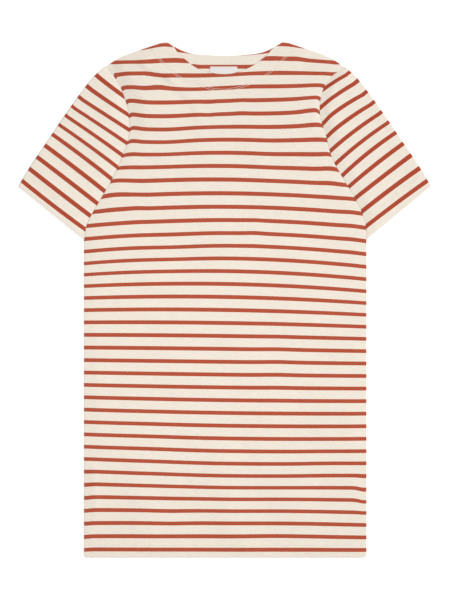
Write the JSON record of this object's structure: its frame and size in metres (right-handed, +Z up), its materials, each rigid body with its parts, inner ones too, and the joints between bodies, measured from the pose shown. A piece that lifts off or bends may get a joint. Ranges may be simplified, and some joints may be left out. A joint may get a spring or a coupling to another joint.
{
  "type": "t-shirt dress",
  "caption": "Short-sleeved T-shirt dress in striped jersey with a wide round neck, laid flat on its back; it rests on any level surface.",
  "frame": {"origin": "on the surface the dress lies on, under the middle of its box", "axes": "+Y runs from the hem to the neck, +X to the wearer's left, +Z up from the surface"},
  "size_m": [0.742, 0.9286, 0.0061],
  "materials": {
    "striped_jersey": "matt cotton jersey, cream with narrow brick red stripes",
    "label_weave": "smooth white woven tape, blank"
  },
  "bodies": {
    "root": {"front_panel": "striped_jersey", "back_panel": "striped_jersey", "sleeve_right": "striped_jersey", "sleeve_left": "striped_jersey", "back_neck_facing": "striped_jersey", "neck_label": "label_weave"}
  },
  "joints": []
}
